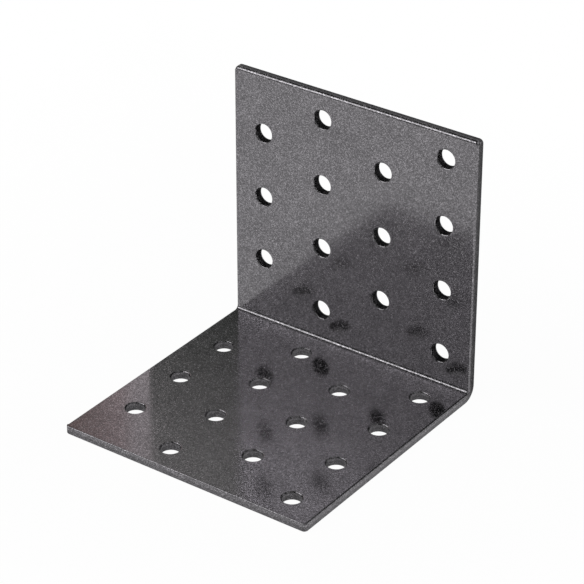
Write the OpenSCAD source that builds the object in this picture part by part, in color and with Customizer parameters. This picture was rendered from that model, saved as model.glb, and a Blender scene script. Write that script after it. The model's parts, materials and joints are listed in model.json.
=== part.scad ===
// Corner brace bracket: a strip of sheet steel, punched with staggered holes and folded square.
// The fold runs along X. The base leg lies flat on Z = 0, and the wall leg stands at its +Y end.

/* [Sheet] */
// Width of the bracket along its fold
width = 80; // [60:1:160]
// Length of the base leg, from the wall leg's outer face to the tip
base_len = 80; // [50:1:200]
// Height of the wall leg, from the base leg's outer face to the tip
wall_len = 80; // [50:1:200]
// Thickness of the sheet
sheet_t = 2.5; // [1.5:0.1:4]

/* [Fold and edges] */
// Radius on the inside of the fold
fold_r = 1; // [0.5:0.1:6]
// Radius on the outside of the fold, where folding has drawn the sheet thinner
heel_r = 4.2; // [1:0.1:5]
// Radius that rounds the sheared edges of the sheet
edge_r = 0.4; // [0.1:0.05:0.6]
// Radius of the corners at each leg's tip
corner_r = 0.9; // [0.7:0.1:6]

/* [Holes] */
// Diameter of each hole
hole_d = 5.5; // [3:0.1:8]
// Distance between holes in a column, and between columns
pitch = 20; // [12:0.5:40]
// Distance from the end of the fold to the nearest row of holes
first_row = 7.8; // [6:0.1:20]
// Least distance from a hole's centre to the leg's tip
tip_margin = 7; // [6:0.5:20]
// Least distance from a hole's centre to the bracket's sides
side_margin = 8; // [6:0.5:20]
// Radius of the drawn-in rim on the faces that the punch enters
rim_r = 0.35; // [0.1:0.05:0.6]
// Radius of the rim on the faces that the punch leaves
back_rim_r = 0.2; // [0.1:0.05:0.4]

/* [Hidden] */
$fn = 64;
// Distances from a leg's outer face to the end of the fold's inner arc, and to where both arcs have ended
inner_end = sheet_t + fold_r;
fold_end = max(inner_end, heel_r);
// The fold is drawn this much further, so that it overlaps both legs and doesn't merely touch them
lap = 1;
// Each leg is drawn along -Y from the heel, with its outer face on Z = 0
heel_y = base_len / 2;
// Columns spread evenly about the middle, and every second one is moved by half a pitch
columns = 1 + floor((width - 2 * side_margin) / pitch);
half_pitch = pitch / 2;
// Cutters reach this far past the surface that they cut, where nothing else is in the way
overcut = 1;

// What rounding takes off a square edge: the edge is the origin, the sheet lies towards -X and -Y,
// and the cutter reaches past both its faces
module round_off(r, past = overcut) {
    difference() {
        translate([-r, -r])
            square(r + past);
        translate([-r, -r])
            circle(r);
    }
}

// Section of the sheet from X = 0 out to a sheared edge, with its outer face on Y = 0
module edge_section(reach) {
    difference() {
        square([reach, sheet_t]);
        translate([reach, sheet_t])
            round_off(edge_r);
        translate([reach, 0])
            mirror([0, 1])
                round_off(edge_r);
    }
}

// Section right across the sheet
module full_section() {
    edge_section(width / 2);
    mirror([1, 0])
        edge_section(width / 2);
}

// The flat part of a leg, from the fold to its tip, with rounded corners
module plate(leg_len) {
    corner_x = width / 2 - corner_r;
    corner_y = corner_r - leg_len;
    translate([0, -fold_end, 0])
        rotate([90, 0, 0])
            linear_extrude(leg_len - corner_r - fold_end)
                full_section();
    translate([corner_x, corner_y, 0])
        rotate([90, 0, -90])
            linear_extrude(2 * corner_x)
                edge_section(corner_r);
    for (side = [-1, 1])
        translate([side * corner_x, corner_y, 0])
            rotate_extrude()
                edge_section(corner_r);
}

// Section through the fold: the heel's corner is the origin, and the legs run along X and Y
module fold_section() {
    difference() {
        union() {
            square([fold_end + lap, sheet_t]);
            square([sheet_t, fold_end + lap]);
            translate([sheet_t, sheet_t])
                difference() {
                    square(fold_r);
                    translate([fold_r, fold_r])
                        circle(fold_r);
                }
        }
        rotate(180)
            round_off(heel_r);
    }
}

// A cutter along X, from a distance to past the end of the fold
module straight_run(from) {
    translate([from, 0, 0])
        rotate([90, 0, 90])
            linear_extrude(fold_end + lap + overcut - from)
                children();
}

// A cutter round a quarter turn that ends at this distance from both legs' outer faces
module quarter_run(end) {
    translate([end, end, 0])
        rotate(180)
            rotate_extrude(angle = 90)
                children();
}

// What rounding takes off the straight edges of the fold's one end, along X
module leg_edges() {
    straight_run(heel_r)
        mirror([1, 0])
            round_off(edge_r);
    translate([0, sheet_t, 0])
        straight_run(inner_end)
            round_off(edge_r);
}

// What rounding takes off the fold's two edges at one end of it, on Z = 0
module fold_edges() {
    quarter_run(heel_r)
        translate([heel_r, 0])
            round_off(edge_r);
    quarter_run(inner_end)
        translate([fold_r, 0])
            mirror([1, 0])
                round_off(edge_r, past = fold_r / 2);
    leg_edges();
    rotate(90)
        mirror([0, 1, 0])
            leg_edges();
}

// The quarter turn that joins the two legs
module fold() {
    rotate([90, 0, -90])
        difference() {
            translate([0, 0, -width / 2])
                linear_extrude(width)
                    fold_section();
            for (end = [0, 1])
                mirror([0, 0, end])
                    translate([0, 0, width / 2])
                        fold_edges();
        }
}

// One hole's cutter, along Z through a leg, with the flare of both its rims
module hole() {
    translate([0, 0, -overcut])
        cylinder(d = hole_d, h = sheet_t + 2 * overcut);
    translate([0, 0, sheet_t])
        rim(rim_r);
    mirror([0, 0, 1])
        rim(back_rim_r);
}

// The flare of a rim of radius r, below a face on Z = 0
module rim(r) {
    rotate_extrude()
        difference() {
            translate([0, -r])
                square([hole_d / 2 + r, r + overcut]);
            translate([hole_d / 2 + r, -r])
                circle(r);
        }
}

// All the holes of a leg: every second column starts half a pitch further from the fold
module holes(leg_len) {
    for (column = [0 : columns - 1]) {
        x = (column - (columns - 1) / 2) * pitch;
        start = fold_end + first_row + (column % 2 == 0 ? half_pitch : 0);
        for (distance = [start : pitch : leg_len - tip_margin])
            translate([x, -distance, 0])
                hole();
    }
}

// Stands a leg up along +Z, with its outer face towards +Y
module stand_up() {
    rotate([90, 0, 0])
        mirror([0, 1, 0])
            children();
}

module bracket() {
    color([0.29, 0.29, 0.3])
        translate([0, heel_y, 0])
            difference() {
                union() {
                    plate(base_len);
                    fold();
                    stand_up()
                        plate(wall_len);
                }
                holes(base_len);
                stand_up()
                    holes(wall_len);
            }
}

bracket();
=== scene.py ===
"""Corner brace bracket: its folded sheet in full detail, the dark metallic coating, and the studio around it.

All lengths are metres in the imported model's frame. X runs along the fold, the base leg lies on Z = 0,
and the wall leg stands at its +Y end.
"""

import json
import math
from typing import NamedTuple

import bpy
import numpy as np
from bpy.props import FloatProperty, FloatVectorProperty, IntProperty, PointerProperty
from mathutils import Matrix, Vector


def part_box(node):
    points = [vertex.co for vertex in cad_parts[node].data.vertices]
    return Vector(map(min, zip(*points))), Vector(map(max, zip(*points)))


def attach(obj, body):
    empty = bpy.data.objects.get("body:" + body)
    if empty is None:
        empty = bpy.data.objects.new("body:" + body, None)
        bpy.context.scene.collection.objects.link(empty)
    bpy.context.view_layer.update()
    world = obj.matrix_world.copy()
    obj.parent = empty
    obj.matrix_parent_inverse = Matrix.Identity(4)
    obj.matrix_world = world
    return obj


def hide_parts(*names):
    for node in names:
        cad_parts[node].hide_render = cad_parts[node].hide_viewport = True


bl_info = {
    "name": "Corner brace bracket",
    "version": (1, 0, 0),
    "blender": (4, 5, 0),
    "location": "3D View > Sidebar > Brace",
    "description": "Dresses the packed corner brace: folded sheet, metallic coating and studio",
    "category": "Add Mesh",
}

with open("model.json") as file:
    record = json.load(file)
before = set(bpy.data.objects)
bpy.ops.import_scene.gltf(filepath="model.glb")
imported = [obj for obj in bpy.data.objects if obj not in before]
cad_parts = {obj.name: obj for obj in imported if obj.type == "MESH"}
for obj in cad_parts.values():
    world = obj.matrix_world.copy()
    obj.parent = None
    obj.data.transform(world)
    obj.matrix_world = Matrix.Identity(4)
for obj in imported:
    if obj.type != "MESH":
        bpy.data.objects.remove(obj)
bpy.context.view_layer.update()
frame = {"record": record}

NODE = "bracket"
BODY = "root"
SLOT = "coated_steel"
MM = 0.001
QUARTER_TURN = math.pi / 2
SHEAR_ATTRIBUTE = "shear"

# Share of the sheet over which the smooth part of a cut turns into the broken part
BREAK_DEPTH = 0.06
# Rows of faces between a hole's rim and the square grid around it
HOLE_RINGS = 3

# The coating's relief and clouds: how far apart their bumps are, and how high the relief is, in metres
CLOUD_SIZE = 0.009
PEEL_SIZE = 0.0009
PEEL_DEPTH = 0.000004
TORN_SIZE = 0.0007
TORN_DEPTH = 0.00012
TORN_STRENGTH = 0.2
# Brightness from the darkest to the brightest clouds, and from the smooth to the broken part of a cut
CLOUD_GAIN = (0.94, 1.06)
BROKEN_GAIN = (1.0, 0.76)
BROKEN_ROUGHENING = 0.2
# A higher power leaves fewer bright flakes
SPARKLE_POWER = 3

# How much of its white the paper shows to a ray: the two distances in metres that the share runs
# between, then the share at each. Distances are along X or Y from the bracket's middle, whichever is
# larger, and along Y at the rear.
CAMERA_SHARE = (0.05, 0.2, 0.975, 1.0)
UNDERSIDE_SHARE = (0.0401, 0.0408, 0.46, 1.0)
CONTACT_SHARE = (0.0408, 0.055, 0.82, 1.0)
FAR_SHARE = (0.25, 0.5, 1.0, 0.0)
REAR_SHARE = (0.036, 0.044, 1.0, 0.05)
PAPER_TOOTH = 0.004
PAPER_WHITES = (0.86, 0.88)
WHITE = (1.0, 1.0, 1.0)
# Black of the painted shade that the reflections see in the wall leg's holes
PAINTED_SHADE_BLACK = (0.02, 0.02, 0.02)


class Softbox(NamedTuple):
    """A rectangular lamp: its direction and distance from the bracket, and its size in metres."""

    name: str
    direction: tuple
    distance: float
    width: float
    length: float


class PaintedReflection(NamedTuple):
    """An upright glowing card between two points of the plan, seen only in the coating's reflections: a
    painted reflection whose colour runs from start to end along an axis.

    Its face is towards someone who sees its right edge on their right.
    """

    name: str
    right_edge: tuple
    left_edge: tuple
    low: float
    high: float
    axis: str
    start: float
    end: float
    start_colour: tuple
    end_colour: tuple


# The core is the key softbox's bright middle, and hangs just in front of it
KEY_DIRECTION = (-0.545, -0.525, 0.655)
KEY_SOFTBOX = Softbox("key_softbox", KEY_DIRECTION, distance=0.52, width=0.5, length=0.38)
KEY_CORE = Softbox("key_core", KEY_DIRECTION, distance=0.515, width=0.4, length=0.08)
RIGHT_SOFTBOX = Softbox("right_softbox", (0.6, -0.2, 0.7), distance=1.0, width=0.9, length=0.9)
BACK_SOFTBOX = Softbox("back_softbox", (0.75, 0.6, 0.25), distance=1.0, width=0.5, length=0.5)

# The pale and the brown painted reflections meet along this edge, in this colour
SEAM = (-0.0585, 0.0052)
SEAM_COLOUR = (0.86, 0.72, 0.72)
# Glowing cards that only the coating's reflections see: painted reflections, from dark to pale
PAINTED_REFLECTIONS = (
    PaintedReflection(
        name="pale_painted_reflection",
        right_edge=(-0.0517, 0.0108),
        left_edge=SEAM,
        low=0.008,
        high=0.11,
        axis="X",
        start=SEAM[0],
        end=-0.055,
        start_colour=SEAM_COLOUR,
        end_colour=(1.0, 0.93, 0.94),
    ),
    PaintedReflection(
        name="brown_painted_reflection",
        right_edge=SEAM,
        left_edge=(-0.072, -0.006),
        low=0.008,
        high=0.11,
        axis="X",
        start=-0.072,
        end=SEAM[0],
        start_colour=(0.48, 0.36, 0.33),
        end_colour=SEAM_COLOUR,
    ),
    PaintedReflection(
        name="dark_painted_reflection",
        right_edge=(-0.041, 0.042),
        left_edge=(-0.14, 0.042),
        low=0.004,
        high=0.085,
        axis="Z",
        start=0.004,
        end=0.085,
        start_colour=(0.1, 0.11, 0.1),
        end_colour=(0.6, 0.6, 0.58),
    ),
    PaintedReflection(
        name="top_painted_reflection",
        right_edge=(0.06, 0.06),
        left_edge=(-0.14, 0.06),
        low=0.09,
        high=0.12,
        axis="Z",
        start=0.09,
        end=0.12,
        start_colour=(0.36, 0.36, 0.36),
        end_colour=(0.42, 0.42, 0.42),
    ),
)


def bolt_patterns(axis_index):
    """The record's hole patterns whose axis lies along one row axis."""
    mounts = frame["record"]["mounts"]
    patterns = [m for m in mounts if m["kind"] == "bolt_pattern"]
    return [m for m in patterns if abs(m["axis"][axis_index]) > 0.5]


def sheet_thickness():
    """The patterns on the base leg are stated halfway through the sheet, which lies on Z = 0."""
    return 2 * bolt_patterns(2)[0]["pos_m"][2]


def hole_radius():
    return bolt_patterns(2)[0]["dims"]["hole_r_mm"] * MM


def hole_places(axis_index, along_index):
    """Places of one leg's holes: (x, position along the leg's row axis)."""
    places = []
    for mount in bolt_patterns(axis_index):
        dims = mount["dims"]
        across = dims["spacing_x_mm"] * MM / 2
        along = dims.get("spacing_y_mm", 0) * MM / 2
        for side in (-1, 1):
            for end in (-1, 1) if along else (0,):
                x = mount["pos_m"][0] + side * across
                places.append((x, mount["pos_m"][along_index] + end * along))
    return places


class BraceSheet(bpy.types.PropertyGroup):
    """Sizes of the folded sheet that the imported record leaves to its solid."""

    fold_radius: FloatProperty(
        name="Fold radius",
        description="Radius on the inside of the fold",
        default=0.001,
        min=0.0005,
        unit="LENGTH",
    )
    heel_radius: FloatProperty(
        name="Heel radius",
        description="Radius on the outside of the fold, where folding has drawn the sheet thinner",
        default=0.0042,
        min=0.001,
        unit="LENGTH",
    )
    bow_angle: FloatProperty(
        name="Bow",
        description="How far the wall leg still leans into the fold where its arc ends",
        default=math.radians(3),
        min=0,
        subtype="ANGLE",
    )
    bow_length: FloatProperty(
        name="Bow length",
        description="Distance from the fold in which that lean falls to about a third",
        default=0.004,
        min=0.0005,
        unit="LENGTH",
    )
    rolled_radius: FloatProperty(
        name="Rolled radius",
        description="Rounding of the wall tip's inner edge, which the shear rolled in",
        default=0.001,
        min=0.0001,
        unit="LENGTH",
    )
    side_radius: FloatProperty(
        name="Side radius",
        description="Rounding of the inner edges along the bracket's two sides",
        default=0.0007,
        min=0.0001,
        unit="LENGTH",
    )
    edge_radius: FloatProperty(
        name="Edge radius",
        description="Rounding of the outer edges, and of both edges at the base tip",
        default=0.0003,
        min=0.0001,
        unit="LENGTH",
    )
    corner_radius: FloatProperty(
        name="Corner radius",
        description="Radius of the corners at the tips, seen from above",
        default=0.0012,
        min=0.0005,
        unit="LENGTH",
    )
    rim_radius: FloatProperty(
        name="Rim radius",
        description="Drawn-in rim of each hole, on the side that the punch enters",
        default=0.0004,
        min=0.0001,
        unit="LENGTH",
    )
    back_rim_radius: FloatProperty(
        name="Back rim radius",
        description="Rim of each hole on the side that the punch leaves",
        default=0.0001,
        min=0.00005,
        unit="LENGTH",
    )
    burnished_share: FloatProperty(
        name="Burnished share",
        description="Share of the sheet that the punch or shear cut smooth before the rest broke away",
        default=0.4,
        min=0.1,
        max=0.8,
        subtype="FACTOR",
    )
    grid_step: FloatProperty(
        name="Grid step",
        description="Size of the mesh's squares on the flat of a leg",
        default=0.001,
        min=0.0005,
        unit="LENGTH",
    )
    fold_steps: IntProperty(
        name="Fold steps", description="Rows of faces around the fold", default=24, min=8
    )
    round_steps: IntProperty(
        name="Rounding steps", description="Rows of faces across each rounding", default=6, min=2
    )


class BraceCoating(bpy.types.PropertyGroup):
    """The dark metallic coating: flakes that lie flat, and among them a few loose ones."""

    colour: FloatVectorProperty(
        name="Coating",
        description="Mean colour of the flat flakes",
        default=(0.169, 0.163, 0.172),
        subtype="COLOR",
        min=0,
        max=1,
    )
    roughness: FloatProperty(
        name="Roughness",
        description="Roughness of the flat flakes on the flat faces",
        default=0.12,
        min=0,
        max=1,
        subtype="FACTOR",
    )
    flake_size: FloatProperty(
        name="Flake size",
        description="Size of the metal flakes",
        default=0.00021,
        min=0.00005,
        unit="LENGTH",
    )
    flake_contrast: FloatProperty(
        name="Flake contrast",
        description="How much brighter the brightest flakes are than the darkest",
        default=1.35,
        min=0,
    )
    flake_tilt: FloatProperty(
        name="Flake tilt",
        description="How far the flakes lean out of the surface, as a slope",
        default=0.015,
        min=0,
    )
    loose_share: FloatProperty(
        name="Loose share",
        description="Share of the flakes that scatter light widely",
        default=0.2,
        min=0,
        max=1,
        subtype="FACTOR",
    )
    loose_gain: FloatProperty(
        name="Loose gain",
        description="Brightness of the loose flakes next to the flat ones",
        default=1.7,
        min=0,
    )
    loose_roughness: FloatProperty(
        name="Loose roughness",
        description="Roughness of the loose flakes",
        default=0.55,
        min=0,
        max=1,
        subtype="FACTOR",
    )


class BraceStudio(bpy.types.PropertyGroup):
    """Camera and light."""

    azimuth: FloatProperty(
        name="Azimuth",
        description="Direction of view around Z; at 0 the camera looks along +Y",
        default=math.radians(35.85),
        subtype="ANGLE",
    )
    elevation: FloatProperty(
        name="Elevation",
        description="Height of the camera above the horizon",
        default=math.radians(30.15),
        subtype="ANGLE",
    )
    target: FloatVectorProperty(
        name="Target",
        description="Point at the middle of the picture",
        default=(-0.0054, 0.017, 0.0291),
        subtype="XYZ",
    )
    distance: FloatProperty(
        name="Distance",
        description="From the camera to the target",
        default=0.7322,
        min=0.1,
        unit="LENGTH",
    )
    lens: FloatProperty(
        name="Lens", description="Focal length in millimetres", default=164.8, min=20
    )
    key_radiance: FloatProperty(
        name="Key brightness", description="Radiance of the large softbox", default=2.1, min=0
    )
    core_radiance: FloatProperty(
        name="Core brightness",
        description="Radiance of the bright strip in front of the large softbox",
        default=3.2,
        min=0,
    )
    right_radiance: FloatProperty(
        name="Right brightness", description="Radiance of the softbox at the right", default=0.6, min=0
    )
    back_radiance: FloatProperty(
        name="Back brightness", description="Radiance of the softbox behind", default=1.0, min=0
    )
    room_colour: FloatVectorProperty(
        name="Room",
        description="Colour of the dim room",
        default=(0.07, 0.075, 0.07),
        subtype="COLOR",
        min=0,
        max=1,
    )


class Fold:
    """Carries points and directions from the flat blank to the folded bracket.

    On the blank, x runs along the fold line and v across it, from the base tip to the wall tip, with
    v = 0 in the middle of the fold. h is the height above the sheet's outer face.
    """

    def __init__(self, sizes):
        low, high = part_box(NODE)
        self.sheet = sheet_thickness()
        self.inner_radius = sizes.fold_radius
        self.outer_radius = sizes.heel_radius
        self.bow_angle = sizes.bow_angle
        self.bow_length = sizes.bow_length
        # Both arcs have ended this far from the legs' outer faces
        self.reach = max(self.sheet + self.inner_radius, self.outer_radius)
        self.heel_y = high.y
        self.half_width = (high.x - low.x) / 2
        inner_length = self.arc(self.sheet, self.inner_radius)[1]
        outer_length = self.arc(0, self.outer_radius)[1]
        self.half_run = (inner_length + outer_length) / 4
        self.base_tip = self.base_v(low.y)
        self.wall_tip = self.wall_v(high.z)

    def base_v(self, y):
        return y - (self.heel_y - self.reach) - self.half_run

    def wall_v(self, z):
        return z - self.reach + self.half_run

    def arc(self, height, radius):
        """Straight length before an arc, and the whole length of its path through the fold."""
        straight = self.reach - height - radius
        return straight, 2 * straight + QUARTER_TURN * radius

    def path(self, v, height, radius):
        """Turn, y and z along one face's path through the fold, and on into the legs."""
        straight, length = self.arc(height, radius)
        share = np.clip((v + self.half_run) / (2 * self.half_run), 0, 1)
        along = share * length
        turn = np.clip((along - straight) / radius, 0, QUARTER_TURN)
        before = np.minimum(along, straight) + np.minimum(v + self.half_run, 0)
        after = np.maximum(along - straight - QUARTER_TURN * radius, 0)
        after = after + np.maximum(v - self.half_run, 0)
        y = self.heel_y - self.reach + before + radius * np.sin(turn)
        z = height + radius * (1 - np.cos(turn)) + after
        return turn, y, z

    def between_faces(self, v, h):
        """Turn, y and z at height h, between the paths of the two faces."""
        inner = self.path(v, self.sheet, self.inner_radius)
        outer = self.path(v, 0, self.outer_radius)
        share = h / self.sheet
        return [i * share + o * (1 - share) for i, o in zip(inner, outer)]

    def place(self, x, v, h):
        """Folded positions of blank points."""
        _, y, z = self.between_faces(v, h)
        return np.column_stack([x, y, z])

    def bow(self, v, turn):
        """The lean that the wall leg keeps beside the fold, taken off the turn of the surface there."""
        beyond = np.maximum(v - self.half_run, 0)
        return turn / QUARTER_TURN * self.bow_angle * np.exp(-beyond / self.bow_length)

    def direction(self, v, h, across, along, up):
        """Folded directions of blank directions."""
        turn = self.between_faces(v, h)[0]
        turn = turn - self.bow(v, turn)
        y = along * np.cos(turn) - up * np.sin(turn)
        z = along * np.sin(turn) + up * np.cos(turn)
        return np.column_stack([across, y, z])


class Plan:
    """Flat mesh of the blank's face: points, faces, and for each edge point its way out and profile."""

    def __init__(self):
        self.points = []
        self.faces = []
        self.edge_points = {}

    def add(self, x, v):
        self.points.append((x, v))
        return len(self.points) - 1

    def mark_edge(self, point, out_x, out_v, profile):
        self.edge_points[point] = (out_x, out_v, profile)

    def add_face(self, corners):
        """Adds a face, turned so that it faces up from the blank."""
        area = 0
        for a, b in zip(corners, corners[1:] + corners[:1]):
            (ax, av), (bx, bv) = self.points[a], self.points[b]
            area += ax * bv - bx * av
        self.faces.append(list(corners) if area > 0 else list(reversed(corners)))

    def open_edges(self):
        """Edges with a face on one side only, with that face on their left."""
        edges = {(a, b) for f in self.faces for a, b in zip(f, f[1:] + f[:1])}
        return [(a, b) for a, b in edges if (b, a) not in edges]


def grid_lines(first, last, through, step):
    """Lines from first to last: one at every step away from `through`, none too near the ends."""
    low = math.ceil((first + step / 2 - through) / step)
    high = math.floor((last - step / 2 - through) / step)
    return [first] + [through + k * step for k in range(low, high + 1)] + [last]


def blank_lines(fold, sizes, base_row, wall_row, column):
    """The grid's lines across the width and along the blank."""
    step = sizes.grid_step
    side = fold.half_width - sizes.corner_radius
    inset = sizes.corner_radius - sizes.rolled_radius
    xs = grid_lines(-side, side, column, step)
    base_end = fold.base_tip + sizes.corner_radius
    wall_end = fold.wall_tip - sizes.corner_radius
    vs = grid_lines(base_end, -fold.half_run, base_row, step)
    rows = np.linspace(-fold.half_run, fold.half_run, sizes.fold_steps + 1)
    vs += list(rows[1:-1])
    vs += grid_lines(fold.half_run, wall_end, wall_row, step)
    return [-side - inset] + xs + [side + inset], [base_end - inset] + vs + [wall_end + inset]


def nearest_line(lines, value):
    return int(np.argmin(np.abs(np.array(lines) - value)))


def square_ring(i0, j0, cells):
    """Grid indices around a square block, anticlockwise from its lowest corner."""
    ring = [(i0 + k, j0) for k in range(cells)]
    ring += [(i0 + cells, j0 + k) for k in range(cells)]
    ring += [(i0 + cells - k, j0 + cells) for k in range(cells)]
    return ring + [(i0, j0 + cells - k) for k in range(cells)]


def add_hole(plan, ring, centre, radius, rings):
    """Fills a square block of the grid around a hole, in rings from the square to the circle."""
    count = len(ring)
    lowest_corner = -1.5 * QUARTER_TURN
    outer = ring
    for step in range(1, rings + 1):
        share = step / rings
        inner = []
        for k, corner in enumerate(ring):
            angle = 2 * math.pi * k / count + lowest_corner
            circle = (centre[0] + radius * math.cos(angle), centre[1] + radius * math.sin(angle))
            square = plan.points[corner]
            inner.append(
                plan.add(
                    square[0] + (circle[0] - square[0]) * share,
                    square[1] + (circle[1] - square[1]) * share,
                )
            )
            if step == rings:
                plan.mark_edge(inner[-1], -math.cos(angle), -math.sin(angle), "hole")
        for k in range(count):
            n = (k + 1) % count
            plan.add_face([outer[k], outer[n], inner[n], inner[k]])
        outer = inner


def add_corner(plan, centre, side_point, tip_point, out_x, out_v, radius, steps, profile):
    """A quarter disc at a tip's corner, as a fan about the corner's centre."""
    cx, cv = plan.points[centre]
    arc = [side_point]
    for k in range(1, steps):
        angle = QUARTER_TURN * k / steps
        out = (out_x * math.cos(angle), out_v * math.sin(angle))
        arc.append(plan.add(cx + radius * out[0], cv + radius * out[1]))
        plan.mark_edge(arc[-1], out[0], out[1], profile)
    arc.append(tip_point)
    for a, b in zip(arc, arc[1:]):
        plan.add_face([centre, a, b])


def blank_plan(fold, sizes):
    """Flat mesh of the whole perforated blank, inset by the roundings of its edges."""
    base_holes = [(x, fold.base_v(y)) for x, y in hole_places(2, 1)]
    wall_holes = [(x, fold.wall_v(z)) for x, z in hole_places(1, 2)]
    column, base_row = base_holes[0]
    xs, vs = blank_lines(fold, sizes, base_row, wall_holes[0][1], column)
    last_i, last_j = len(xs) - 1, len(vs) - 1
    corners = {(i, j) for i in (0, last_i) for j in (0, last_j)}

    # A hole's block reaches halfway to the next column of holes, less the gap where plain squares run
    columns = sorted({round(x, 6) for x, v in base_holes})
    cells = 2 * round((columns[1] - columns[0]) / sizes.grid_step / 4)
    blocks = {}
    for x, v in base_holes + wall_holes:
        i0 = nearest_line(xs, x) - cells // 2
        j0 = nearest_line(vs, v) - cells // 2
        blocks[(i0, j0)] = (x, v)
    filled = {(i0 + a, j0 + b) for i0, j0 in blocks for a in range(cells) for b in range(cells)}
    buried = {(i0 + a, j0 + b) for i0, j0 in blocks for a in range(1, cells) for b in range(1, cells)}

    plan = Plan()
    grid = {}
    for j, v in enumerate(vs):
        for i, x in enumerate(xs):
            if (i, j) in buried or (i, j) in corners:
                continue
            grid[i, j] = plan.add(x, v)
            if i in (0, last_i):
                plan.mark_edge(grid[i, j], -1 if i == 0 else 1, 0, "side")
            if j in (0, last_j):
                plan.mark_edge(grid[i, j], 0, *((-1, "base_tip") if j == 0 else (1, "wall_tip")))
    for j in range(last_j):
        for i in range(last_i):
            square = [(i, j), (i + 1, j), (i + 1, j + 1), (i, j + 1)]
            if (i, j) not in filled and not corners.intersection(square):
                plan.add_face([grid[c] for c in square])
    for (i0, j0), centre in blocks.items():
        ring = [grid[c] for c in square_ring(i0, j0, cells)]
        add_hole(plan, ring, centre, hole_radius() + sizes.rim_radius, HOLE_RINGS)
    arc_radius = sizes.corner_radius - sizes.rolled_radius
    for i, j in corners:
        out_x, out_v = (-1 if i == 0 else 1), (-1 if j == 0 else 1)
        centre = grid[i - out_x, j - out_v]
        add_corner(
            plan, centre, grid[i, j - out_v], grid[i - out_x, j],
            out_x, out_v, arc_radius, sizes.round_steps, "base_tip" if j == 0 else "wall_tip",
        )
    return plan


def rounding_angles(starts_inside, steps):
    """Angles of the points round an edge, as many whether or not the flat face ends in the first one."""
    if starts_inside:
        return [QUARTER_TURN * k / (steps - 1) for k in range(steps)]
    return [QUARTER_TURN * (k + 1) / steps for k in range(steps)]


def edge_profile(inner_radius, outer_radius, reach, sheet, burnished_share, steps):
    """Points down a sheared edge, from the inner face to the outer one.

    Each is (way out from the face's edge, height, outward and upward part of its normal, shear), where
    shear is 1 on the broken part of the cut and 0 elsewhere. The edge lies `reach` further out.
    """
    points = []
    for a in rounding_angles(inner_radius < reach, steps):
        out = reach - inner_radius + inner_radius * math.sin(a)
        height = sheet - inner_radius * (1 - math.cos(a))
        points.append((out, height, math.sin(a), math.cos(a), 0))
    # Below a large rounding, a little of the cut is still smooth
    break_depth = BREAK_DEPTH * sheet
    break_height = sheet - max(burnished_share * sheet, inner_radius + break_depth)
    points.append((reach, break_height, 1, 0, 0))
    points.append((reach, break_height - break_depth, 1, 0, 1))
    for a in reversed(rounding_angles(outer_radius < reach, steps)):
        out = reach - outer_radius + outer_radius * math.sin(a)
        height = outer_radius * (1 - math.cos(a))
        points.append((out, height, math.sin(a), -math.cos(a), math.sin(a)))
    return points


def folded_mesh(name, sizes):
    """The bracket as one closed mesh, with exact normals and the shear attribute on its points."""
    fold = Fold(sizes)
    plan = blank_plan(fold, sizes)
    sheet = fold.sheet
    # Each profile's inner radius, outer radius and reach
    roundings = {
        "wall_tip": (sizes.rolled_radius, sizes.edge_radius, sizes.rolled_radius),
        "side": (sizes.side_radius, sizes.edge_radius, sizes.rolled_radius),
        "base_tip": (sizes.edge_radius, sizes.edge_radius, sizes.rolled_radius),
        "hole": (sizes.rim_radius, sizes.back_rim_radius, sizes.rim_radius),
    }
    profiles = {
        edge: edge_profile(*radii, sheet, sizes.burnished_share, sizes.round_steps)
        for edge, radii in roundings.items()
    }
    count = len(plan.points)
    flat = np.array(plan.points)
    # Columns: x, v, h, then the normal across, along and up, then shear
    inner = np.column_stack([flat, np.full(count, sheet), np.tile([0, 0, 1, 0], (count, 1))])
    outer = np.column_stack([flat, np.zeros(count), np.tile([0, 0, -1, 0], (count, 1))])
    faces = list(plan.faces)
    faces += [[count + p for p in reversed(face)] for face in plan.faces]
    rows = []
    chains = {}
    for point, (out_x, out_v, profile) in plan.edge_points.items():
        x, v = plan.points[point]
        start = 2 * count + len(rows)
        for out, height, outward, upward, shear in profiles[profile]:
            place = (x + out_x * out, v + out_v * out, height)
            rows.append(place + (out_x * outward, out_v * outward, upward, shear))
        chains[point] = [point, *range(start, 2 * count + len(rows)), count + point]
    for a, b in plan.open_edges():
        for k in range(len(chains[a]) - 1):
            faces.append([chains[a][k], chains[a][k + 1], chains[b][k + 1], chains[b][k]])

    table = np.vstack([inner, outer, np.array(rows)])
    places = fold.place(table[:, 0], table[:, 1], table[:, 2])
    normals = fold.direction(*table[:, 1:6].T)
    mesh = bpy.data.meshes.new(name)
    mesh.from_pydata(places.tolist(), [], faces)
    shear = mesh.attributes.new(SHEAR_ATTRIBUTE, "FLOAT", "POINT")
    shear.data.foreach_set("value", table[:, 6].astype(np.float32))
    mesh.polygons.foreach_set("use_smooth", np.ones(len(faces), bool))
    mesh.normals_split_custom_set_from_vertices(normals.tolist())
    mesh.update()
    return mesh


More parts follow.
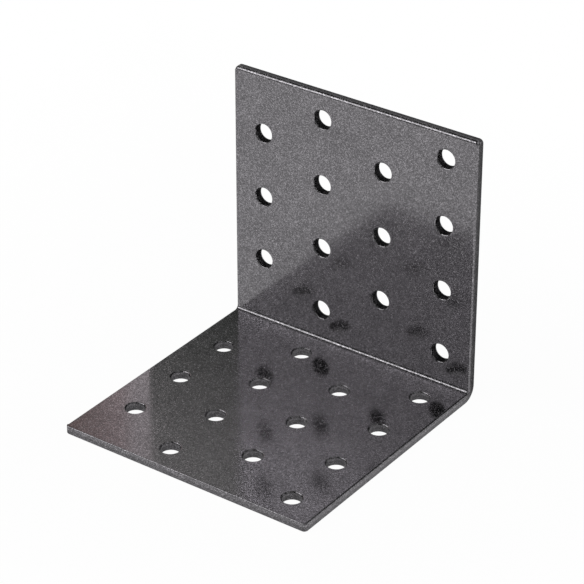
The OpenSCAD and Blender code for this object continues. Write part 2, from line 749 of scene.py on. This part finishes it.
class Nodes:
    """Short calls that add and join shader nodes."""

    def __init__(self, tree):
        self.tree = tree
        tree.nodes.clear()

    def add(self, kind, inputs=None, **settings):
        node = self.tree.nodes.new(kind)
        for name, value in settings.items():
            setattr(node, name, value)
        for name, value in (inputs or {}).items():
            if isinstance(value, bpy.types.NodeSocket):
                self.tree.links.new(value, node.inputs[name])
            else:
                node.inputs[name].default_value = value
        return node

    def noise(self, position, size, detail=2.0):
        """Noise whose bumps are about `size` metres across, from 0 to 1."""
        inputs = {"Vector": position, "Scale": 1 / size, "Detail": detail}
        return self.add("ShaderNodeTexNoise", inputs).outputs["Fac"]

    def remap(self, value, low, high, new_low, new_high):
        inputs = {"Value": value, "From Min": low, "From Max": high, "To Min": new_low, "To Max": new_high}
        return self.add("ShaderNodeMapRange", inputs).outputs["Result"]

    def math(self, operation, a, b):
        return self.add("ShaderNodeMath", {0: a, 1: b}, operation=operation).outputs[0]

    def vector(self, operation, a, b):
        return self.add("ShaderNodeVectorMath", {0: a, 1: b}, operation=operation).outputs[0]

    def cells(self, position, size):
        """Three random numbers, steady within cells about `size` metres across."""
        return self.add("ShaderNodeTexVoronoi", {"Vector": position, "Scale": 1 / size}).outputs["Color"]

    def blend(self, factor, a, b):
        mix = self.tree.nodes.new("ShaderNodeMix")
        mix.data_type = "RGBA"
        # The colour sockets of a Mix node come after those for numbers and vectors
        for index, value in ((0, factor), (6, a), (7, b)):
            if isinstance(value, bpy.types.NodeSocket):
                self.tree.links.new(value, mix.inputs[index])
            else:
                mix.inputs[index].default_value = value
        return mix.outputs[2]


def rgba(colour):
    return (*colour, 1.0)


def new_material(name):
    """An empty material and the calls that fill it."""
    material = bpy.data.materials.new(name)
    material.use_nodes = True
    return material, Nodes(material.node_tree)


def coated_steel(coating):
    """Dark metallic coating of fine flakes, with faint cloudiness and dull broken edges."""
    material, nodes = new_material(SLOT)
    position = nodes.add("ShaderNodeTexCoord").outputs["Object"]
    shear = nodes.add("ShaderNodeAttribute", attribute_name=SHEAR_ATTRIBUTE).outputs["Fac"]

    flakes = nodes.cells(position, coating.flake_size)
    split = nodes.add("ShaderNodeSeparateColor", {0: flakes})
    sparkle = nodes.math("POWER", split.outputs[0], SPARKLE_POWER)
    loose = nodes.math("LESS_THAN", split.outputs[1], coating.loose_share)
    cloud = nodes.noise(position, CLOUD_SIZE, detail=3.0)
    peel = nodes.noise(position, PEEL_SIZE)
    broken = nodes.noise(position, TORN_SIZE, detail=3.0)

    # The sparkle's mean is taken off, which keeps the mean colour as it is set
    low = 1 - coating.flake_contrast / (SPARKLE_POWER + 1)
    gain = nodes.remap(sparkle, 0.0, 1.0, low, low + coating.flake_contrast)
    for share, start, end in (
        (nodes.remap(cloud, 0.3, 0.7, 0.0, 1.0), *CLOUD_GAIN),
        (shear, *BROKEN_GAIN),
        (loose, 1.0, coating.loose_gain),
    ):
        gain = nodes.math("MULTIPLY", gain, nodes.remap(share, 0.0, 1.0, start, end))
    colour = nodes.add("ShaderNodeVectorMath", {0: coating.colour, "Scale": gain}, operation="SCALE")

    smooth = nodes.remap(shear, 0.0, 1.0, coating.roughness, coating.roughness + BROKEN_ROUGHENING)
    roughness = nodes.math("MAXIMUM", smooth, nodes.math("MULTIPLY", loose, coating.loose_roughness))

    # Each flake leans its own way
    lean = nodes.vector("SUBTRACT", flakes, (0.5, 0.5, 0.5))
    lean = nodes.vector("MULTIPLY", lean, (coating.flake_tilt,) * 3)
    surface = nodes.add("ShaderNodeBump", {"Height": peel, "Distance": PEEL_DEPTH}).outputs["Normal"]
    torn = nodes.add(
        "ShaderNodeBump",
        {
            "Height": nodes.math("MULTIPLY", broken, shear),
            "Distance": TORN_DEPTH,
            "Strength": TORN_STRENGTH,
            "Normal": surface,
        },
    ).outputs["Normal"]
    normal = nodes.vector("NORMALIZE", nodes.vector("ADD", torn, lean), (0, 0, 0))
    shader = nodes.add(
        "ShaderNodeBsdfPrincipled",
        {
            "Base Color": colour.outputs[0],
            "Metallic": 1.0,
            "Roughness": roughness,
            "Normal": normal,
        },
    )
    nodes.add("ShaderNodeOutputMaterial", {"Surface": shader.outputs["BSDF"]})
    return material


class BRACE_OT_sheet(bpy.types.Operator):
    """Build the folded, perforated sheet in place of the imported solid, and coat it"""

    bl_idname = "brace.sheet"
    bl_label = "Folded sheet"
    bl_options = {"REGISTER", "UNDO"}

    def execute(self, context):
        mesh = folded_mesh("folded_sheet", context.scene.brace_sheet)
        if mesh.validate():
            raise RuntimeError("the folded sheet's mesh has faulty faces")
        mesh.materials.append(coated_steel(context.scene.brace_coating))
        sheet = bpy.data.objects.new("folded_sheet", mesh)
        context.scene.collection.objects.link(sheet)
        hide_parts(NODE)
        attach(sheet, BODY)
        return {"FINISHED"}


def link(scene, name, data):
    piece = bpy.data.objects.new(name, data)
    scene.collection.objects.link(piece)
    return piece


def aim(piece, target):
    """Turns a lamp, card or camera at `piece.location` so that its -Z looks at the target."""
    away = Vector(piece.location) - Vector(target)
    piece.rotation_euler = away.to_track_quat("Z", "Y").to_euler()


def paper_material():
    """White paper: it shows its own shading near the bracket, and is plain white further out."""
    material, nodes = new_material("white_paper")
    position = nodes.add("ShaderNodeTexCoord").outputs["Object"]
    tooth = nodes.noise(position, PAPER_TOOTH)
    white = nodes.blend(tooth, *[rgba((grey,) * 3) for grey in PAPER_WHITES])
    diffuse = nodes.add("ShaderNodeBsdfDiffuse", {"Color": white})
    glow = nodes.add("ShaderNodeEmission", {"Color": rgba(WHITE), "Strength": 1.0})
    path = nodes.add("ShaderNodeLightPath")
    away = nodes.vector("ABSOLUTE", position, (0, 0, 0))
    apart = nodes.add("ShaderNodeSeparateXYZ", {0: away})
    distance = nodes.math("MAXIMUM", apart.outputs["X"], apart.outputs["Y"])
    behind = nodes.add("ShaderNodeSeparateXYZ", {0: position}).outputs["Y"]
    facing = nodes.remap(distance, *CAMERA_SHARE)
    seen = nodes.math("MULTIPLY", path.outputs["Is Camera Ray"], facing)
    mirrored = path.outputs["Is Glossy Ray"]
    for place, share in (
        (distance, UNDERSIDE_SHARE),
        (distance, CONTACT_SHARE),
        (distance, FAR_SHARE),
        (behind, REAR_SHARE),
    ):
        mirrored = nodes.math("MULTIPLY", mirrored, nodes.remap(place, *share))
    seen = nodes.math("MAXIMUM", seen, mirrored)
    seen = nodes.math("MAXIMUM", seen, path.outputs["Is Transmission Ray"])
    mix = nodes.add("ShaderNodeMixShader", {0: seen, 1: diffuse.outputs[0], 2: glow.outputs[0]})
    nodes.add("ShaderNodeOutputMaterial", {"Surface": mix.outputs[0]})
    return material


def card_colour(nodes, card):
    """The colour that runs along the card's axis."""
    position = nodes.add("ShaderNodeTexCoord").outputs["Object"]
    along = nodes.add("ShaderNodeSeparateXYZ", {0: position}).outputs[card.axis]
    share = nodes.remap(along, card.start, card.end, 0.0, 1.0)
    return nodes.blend(share, rgba(card.start_colour), rgba(card.end_colour))


def glow_forward(nodes, colour):
    """Lights a face's front side, and lets rays from behind pass."""
    glow = nodes.add("ShaderNodeEmission", {"Color": colour, "Strength": 1.0})
    clear = nodes.add("ShaderNodeBsdfTransparent")
    back = nodes.add("ShaderNodeNewGeometry").outputs["Backfacing"]
    mix = nodes.add("ShaderNodeMixShader", {0: back, 1: glow.outputs[0], 2: clear.outputs[0]})
    nodes.add("ShaderNodeOutputMaterial", {"Surface": mix.outputs[0]})


def make_floor(scene, radius=12.0, floor_z=-0.0002, segments=96):
    """A round sheet of paper just under the bracket."""
    turns = [2 * math.pi * k / segments for k in range(segments)]
    mesh = bpy.data.meshes.new("paper_floor")
    points = [(radius * math.cos(a), radius * math.sin(a), floor_z) for a in turns]
    mesh.from_pydata(points, [], [range(segments)])
    mesh.materials.append(paper_material())
    link(scene, "paper_floor", mesh)


def make_painted_reflection(scene, card):
    # A glowing card that only reflections see: a painted reflection
    mesh = bpy.data.meshes.new(card.name)
    corners = [
        (*card.left_edge, card.low),
        (*card.right_edge, card.low),
        (*card.right_edge, card.high),
        (*card.left_edge, card.high),
    ]
    mesh.from_pydata(corners, [], [(0, 1, 2, 3)])
    material, nodes = new_material(card.name)
    glow_forward(nodes, card_colour(nodes, card))
    add_reflected(scene, card.name, mesh, material)


def add_reflected(scene, name, mesh, material):
    """Puts a mesh on the stage that shows only in the coating's reflections, as a painted reflection or
    painted shade.
    """
    mesh.materials.append(material)
    piece = link(scene, name, mesh)
    piece.visible_camera = False
    piece.visible_diffuse = False
    piece.visible_shadow = False


def make_hole_painted_shade(scene, depth=0.0003, clearance=0.00003, segments=32):
    """Black discs in the wall leg's holes, seen only in reflections: painted shade that keeps the room behind
    them out of the reflections.
    """
    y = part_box(NODE)[1].y - depth
    radius = hole_radius() - clearance
    turns = [2 * math.pi * k / segments for k in range(segments)]
    points, faces = [], []
    for x, z in hole_places(1, 2):
        faces.append(range(len(points), len(points) + segments))
        points += [(x + radius * math.cos(a), y, z + radius * math.sin(a)) for a in turns]
    mesh = bpy.data.meshes.new("hole_painted_shade")
    mesh.from_pydata(points, [], faces)
    material, nodes = new_material("hole_painted_shade")
    glow_forward(nodes, rgba(PAINTED_SHADE_BLACK))
    add_reflected(scene, "hole_painted_shade", mesh, material)


def make_softbox(scene, softbox, radiance):
    """A lamp that faces the bracket, with its width level along X."""
    lamp = bpy.data.lights.new(softbox.name, "AREA")
    lamp.shape = "RECTANGLE"
    lamp.size = softbox.width
    lamp.size_y = softbox.length
    lamp.energy = radiance * math.pi * softbox.width * softbox.length
    piece = link(scene, softbox.name, lamp)
    away = Vector(softbox.direction).normalized()
    across = (Vector((1, 0, 0)) - away * away.x).normalized()
    piece.location = away * softbox.distance
    piece.rotation_euler = Matrix((across, away.cross(across), away)).transposed().to_euler()
    piece.visible_camera = False


def make_camera(scene, studio):
    camera = bpy.data.cameras.new("camera")
    camera.lens = studio.lens
    camera.sensor_width = 36
    camera.clip_start = 0.01
    camera.clip_end = 20
    piece = link(scene, "camera", camera)
    level = math.cos(studio.elevation)
    away = Vector((
        level * math.sin(studio.azimuth),
        -level * math.cos(studio.azimuth),
        math.sin(studio.elevation),
    ))
    piece.location = Vector(studio.target) + away * studio.distance
    aim(piece, studio.target)
    scene.camera = piece


def make_room(scene, grey):
    """The dim room around the paper."""
    world = bpy.data.worlds.new("room")
    world.use_nodes = True
    nodes = Nodes(world.node_tree)
    light = nodes.add("ShaderNodeBackground", {"Color": rgba(grey), "Strength": 1.0})
    nodes.add("ShaderNodeOutputWorld", {"Surface": light.outputs[0]})
    scene.world = world


class BRACE_OT_stage(bpy.types.Operator):
    """Set up the paper floor, the softboxes, the glowing cards and black discs painted into the reflections,
    and the camera
    """

    bl_idname = "brace.stage"
    bl_label = "Stage"
    bl_options = {"REGISTER", "UNDO"}

    def execute(self, context):
        scene = context.scene
        studio = scene.brace_studio
        scene.view_settings.view_transform = "Standard"
        make_room(scene, studio.room_colour)
        make_floor(scene)
        make_softbox(scene, KEY_SOFTBOX, studio.key_radiance)
        make_softbox(scene, KEY_CORE, studio.core_radiance)
        make_softbox(scene, RIGHT_SOFTBOX, studio.right_radiance)
        make_softbox(scene, BACK_SOFTBOX, studio.back_radiance)
        for card in PAINTED_REFLECTIONS:
            make_painted_reflection(scene, card)
        make_hole_painted_shade(scene)
        make_camera(scene, studio)
        return {"FINISHED"}


class BRACE_PT_panel(bpy.types.Panel):
    """Lists the bracket's operators and settings"""

    bl_label = "Corner brace"
    bl_idname = "BRACE_PT_panel"
    bl_space_type = "VIEW_3D"
    bl_region_type = "UI"
    bl_category = "Brace"

    def draw(self, context):
        for operator in (BRACE_OT_stage, BRACE_OT_sheet):
            self.layout.operator(operator.bl_idname)
        for group in (context.scene.brace_sheet, context.scene.brace_coating, context.scene.brace_studio):
            box = self.layout.box()
            for name in group.__annotations__:
                box.prop(group, name)


CLASSES = (BraceSheet, BraceCoating, BraceStudio, BRACE_OT_sheet, BRACE_OT_stage, BRACE_PT_panel)


def register():
    for each in CLASSES:
        bpy.utils.register_class(each)
    bpy.types.Scene.brace_sheet = PointerProperty(type=BraceSheet)
    bpy.types.Scene.brace_coating = PointerProperty(type=BraceCoating)
    bpy.types.Scene.brace_studio = PointerProperty(type=BraceStudio)


def unregister():
    del bpy.types.Scene.brace_studio
    del bpy.types.Scene.brace_coating
    del bpy.types.Scene.brace_sheet
    for each in reversed(CLASSES):
        bpy.utils.unregister_class(each)


def main():
    register()
    bpy.ops.brace.stage()
    bpy.ops.brace.sheet()


if __name__ == "__main__":
    main()
